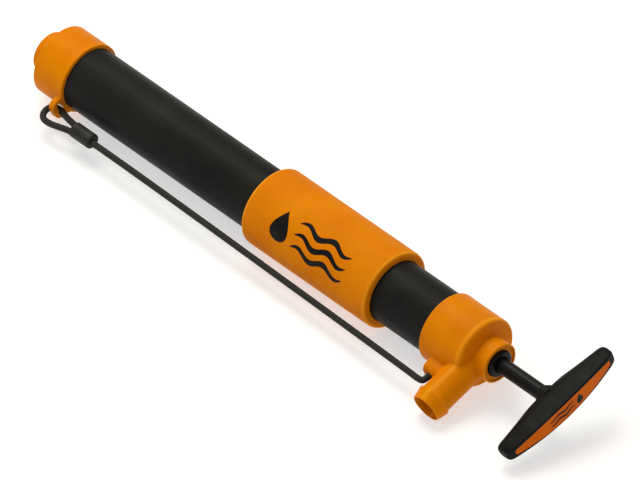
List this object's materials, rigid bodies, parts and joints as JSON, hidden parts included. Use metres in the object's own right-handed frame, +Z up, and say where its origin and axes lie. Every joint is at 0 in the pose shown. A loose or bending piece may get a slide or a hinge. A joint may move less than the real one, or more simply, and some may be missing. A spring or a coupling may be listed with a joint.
{
  "type": "manual bilge pump",
  "caption": "Hand-drawn tube bilge pump with a foam float, T-handle plunger, barbed side spout and a taut shock-cord leash between its end caps.",
  "frame": {"origin": "centre of the inlet mouth at the foot end of the barrel", "axes": "+X along the barrel from the inlet to the T-handle, +Z up with the pump lying on its float and the tip of its spout, spout to -Y"},
  "size_m": [0.55, 0.114, 0.063],
  "materials": {
    "cap_plastic": "injection-moulded orange plastic, satin",
    "foam": "closed-cell foam sleeve, soft matte orange",
    "tube_plastic": "extruded black plastic tube, satin",
    "grip_plastic": "moulded black grip, satin",
    "inlay_plastic": "flush orange inlay, satin",
    "rod_plastic": "smooth black rod and bush, glossy",
    "rubber": "moulded black rubber",
    "valve_rubber": "soft red-brown valve rubber",
    "white_plastic": "natural moulded plastic, matte",
    "steel": "stainless steel",
    "cord": "braided black cord sheath"
  },
  "bodies": {
    "barrel": {"barrel_tube": "tube_plastic", "foot_cap": "cap_plastic", "inlet_strainer": "cap_plastic", "foot_valve_seat": "white_plastic", "foot_valve_pin": "white_plastic", "foot_gasket": "rubber", "head_cap": "cap_plastic", "head_gasket": "rubber", "rod_seal": "rubber", "rod_bush": "rod_plastic", "float_sleeve": "foam", "leash_cord": "cord", "leash_ferrule": "rubber", "leash_stop": "rubber"},
    "foot_valve": {"foot_valve_flap": "valve_rubber"},
    "piston": {"piston_lower_plate": "white_plastic", "piston_cup_seal": "rubber", "piston_upper_plate": "white_plastic"},
    "piston_valve": {"piston_valve_flap": "valve_rubber"},
    "plunger": {"piston_rod": "rod_plastic", "rod_lower_plug": "white_plastic", "rod_upper_plug": "white_plastic", "piston_screw": "steel", "piston_washer": "steel", "stop_bumper": "rubber", "handle_grip": "grip_plastic", "handle_insert": "inlay_plastic", "handle_screw": "steel"}
  },
  "joints": [
    {"name": "piston_stroke", "type": "slide", "parent": "barrel", "child": "piston", "axis": [1, 0, 0], "range_m": [0, 0.39]},
    {"name": "handle_turn", "type": "hinge", "parent": "piston", "child": "plunger", "pos_m": [0.54, 0, 0], "axis": [1, 0, 0], "continuous": true},
    {"name": "piston_valve_lift", "type": "slide", "parent": "piston", "child": "piston_valve", "axis": [1, 0, 0], "range_m": [0, 0.003]},
    {"name": "foot_valve_lift", "type": "slide", "parent": "barrel", "child": "foot_valve", "axis": [1, 0, 0], "range_m": [0, 0.004]}
  ]
}
